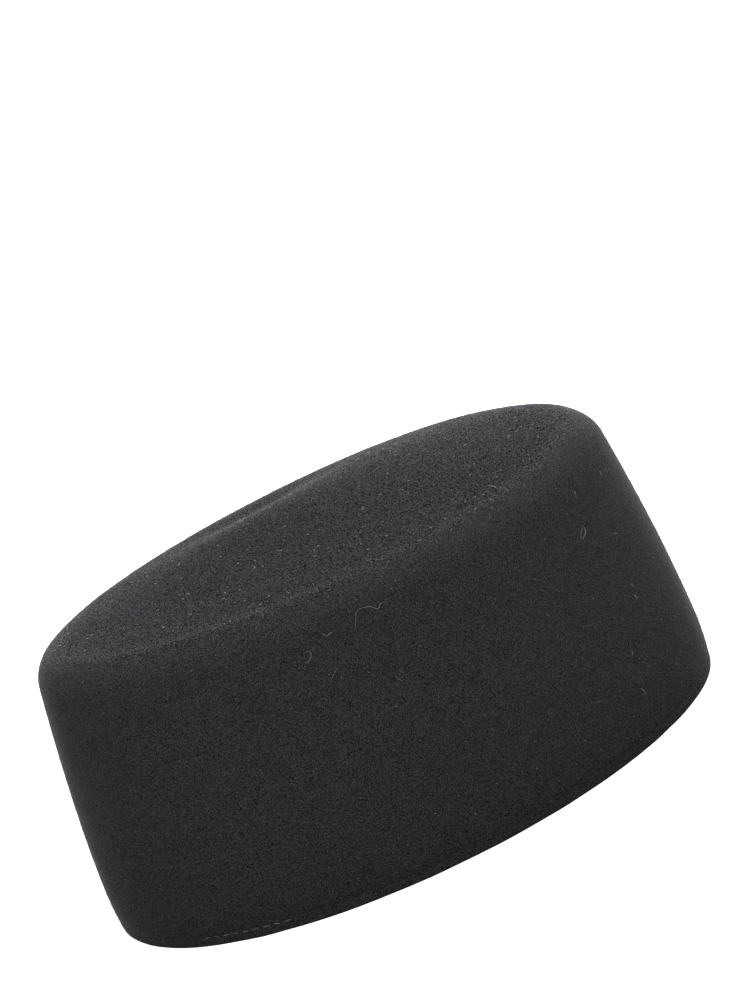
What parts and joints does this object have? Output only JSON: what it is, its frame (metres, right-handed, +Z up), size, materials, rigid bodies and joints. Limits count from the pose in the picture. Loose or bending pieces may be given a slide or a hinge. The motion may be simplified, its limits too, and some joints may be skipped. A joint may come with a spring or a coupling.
{
  "type": "pillbox hat",
  "caption": "Oval pillbox hat of blocked felt: one hollow shell with soft convex walls, a rounded top edge and a gently domed tip, open underneath and resting on its rim.",
  "frame": {"origin": "middle of the rim's plane, under the middle of the hat", "axes": "+Z up through the tip, -Y to the front of the hat, +Y to its back, +X to the wearer's left; the hat's length runs along Y"},
  "size_m": [0.1694, 0.2014, 0.0834],
  "materials": {
    "felt": "matt wool felt, black with a faint blue cast, soft fuzz that catches light at a grazing angle"
  },
  "bodies": {
    "root": {"felt_body": "felt"}
  },
  "joints": []
}
